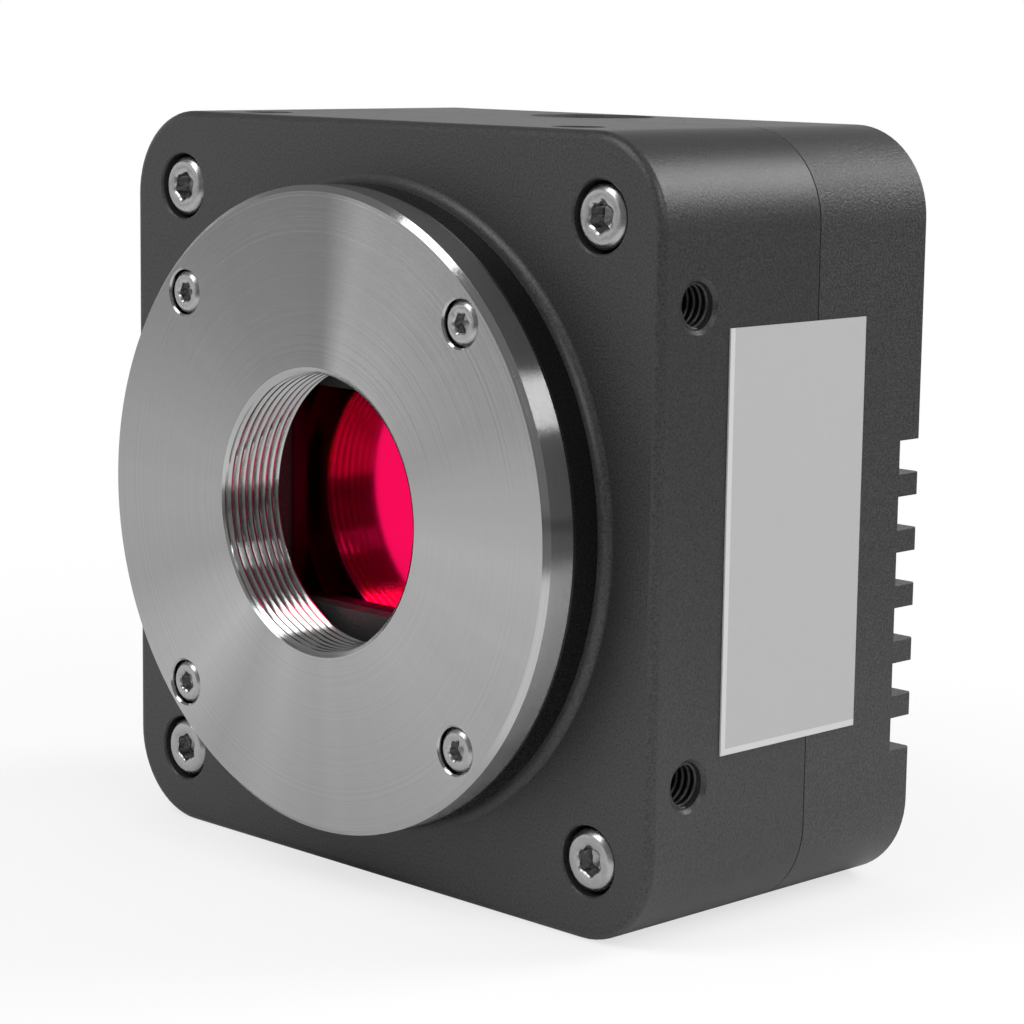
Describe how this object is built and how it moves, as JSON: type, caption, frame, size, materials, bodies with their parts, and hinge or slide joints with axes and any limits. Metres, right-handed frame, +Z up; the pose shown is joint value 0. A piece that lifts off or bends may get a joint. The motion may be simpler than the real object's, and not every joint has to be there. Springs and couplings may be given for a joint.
{
  "type": "c-mount camera",
  "caption": "Square finned camera body with a turned steel mount flange, threaded lens bore, red-mirroring filter, tapped side holes and rear data and power sockets.",
  "frame": {"origin": "centre of the underside, on the surface that the camera stands on", "axes": "the lens mount faces -Y, the fins and sockets face +Y, +Z is up and +X is the side with the label"},
  "size_m": [0.0682, 0.0414, 0.068],
  "materials": {
    "body": "dark grey, bead blasted and anodised",
    "black_ring": "turned and anodised black",
    "steel": "turned bare stainless steel",
    "screws": "bare stainless steel",
    "filter": "coated glass that mirrors red",
    "rubber": "matt black",
    "ceramic": "grey ceramic",
    "silicon": "polished silicon",
    "clear_glass": "clear",
    "board": "green solder resist",
    "chips": "black moulding compound",
    "ferrite": "dark grey ferrite",
    "ceramic_brown": "fired ceramic",
    "plastic": "moulded, fine grain",
    "contacts": "gold plated",
    "tinned": "tinned sheet steel",
    "nickel": "nickel plated, turned",
    "brass": "bare",
    "thermal_pad": "soft, matt",
    "label": "satin film",
    "light": "clear moulded rod"
  },
  "bodies": {
    "root": {"c_mount_flange": "steel", "flange_spacer_ring": "black_ring", "flange_screws": "screws", "front_housing": "body", "housing_screws": "screws", "rear_housing": "body", "housing_seal": "rubber", "rating_label": "label", "filter_glass": "filter", "filter_seal": "rubber", "filter_retainer": "black_ring", "sensor_package": "ceramic", "sensor_die": "silicon", "sensor_cover_glass": "clear_glass", "sensor_board": "board", "board_spacers": "brass", "board_plug": "plastic", "board_header": "plastic", "main_board": "board", "main_board_screws": "screws", "processor_chip": "chips", "thermal_pad": "thermal_pad", "memory_chips": "chips", "usb_chip": "chips", "power_coil": "ferrite", "capacitors": "ceramic_brown", "usb_shell": "tinned", "usb_insert": "plastic", "usb_contacts": "contacts", "io_shell": "nickel", "io_nut": "nickel", "io_insert": "plastic", "io_pins": "contacts", "status_led": "light", "status_window": "light"}
  },
  "joints": []
}
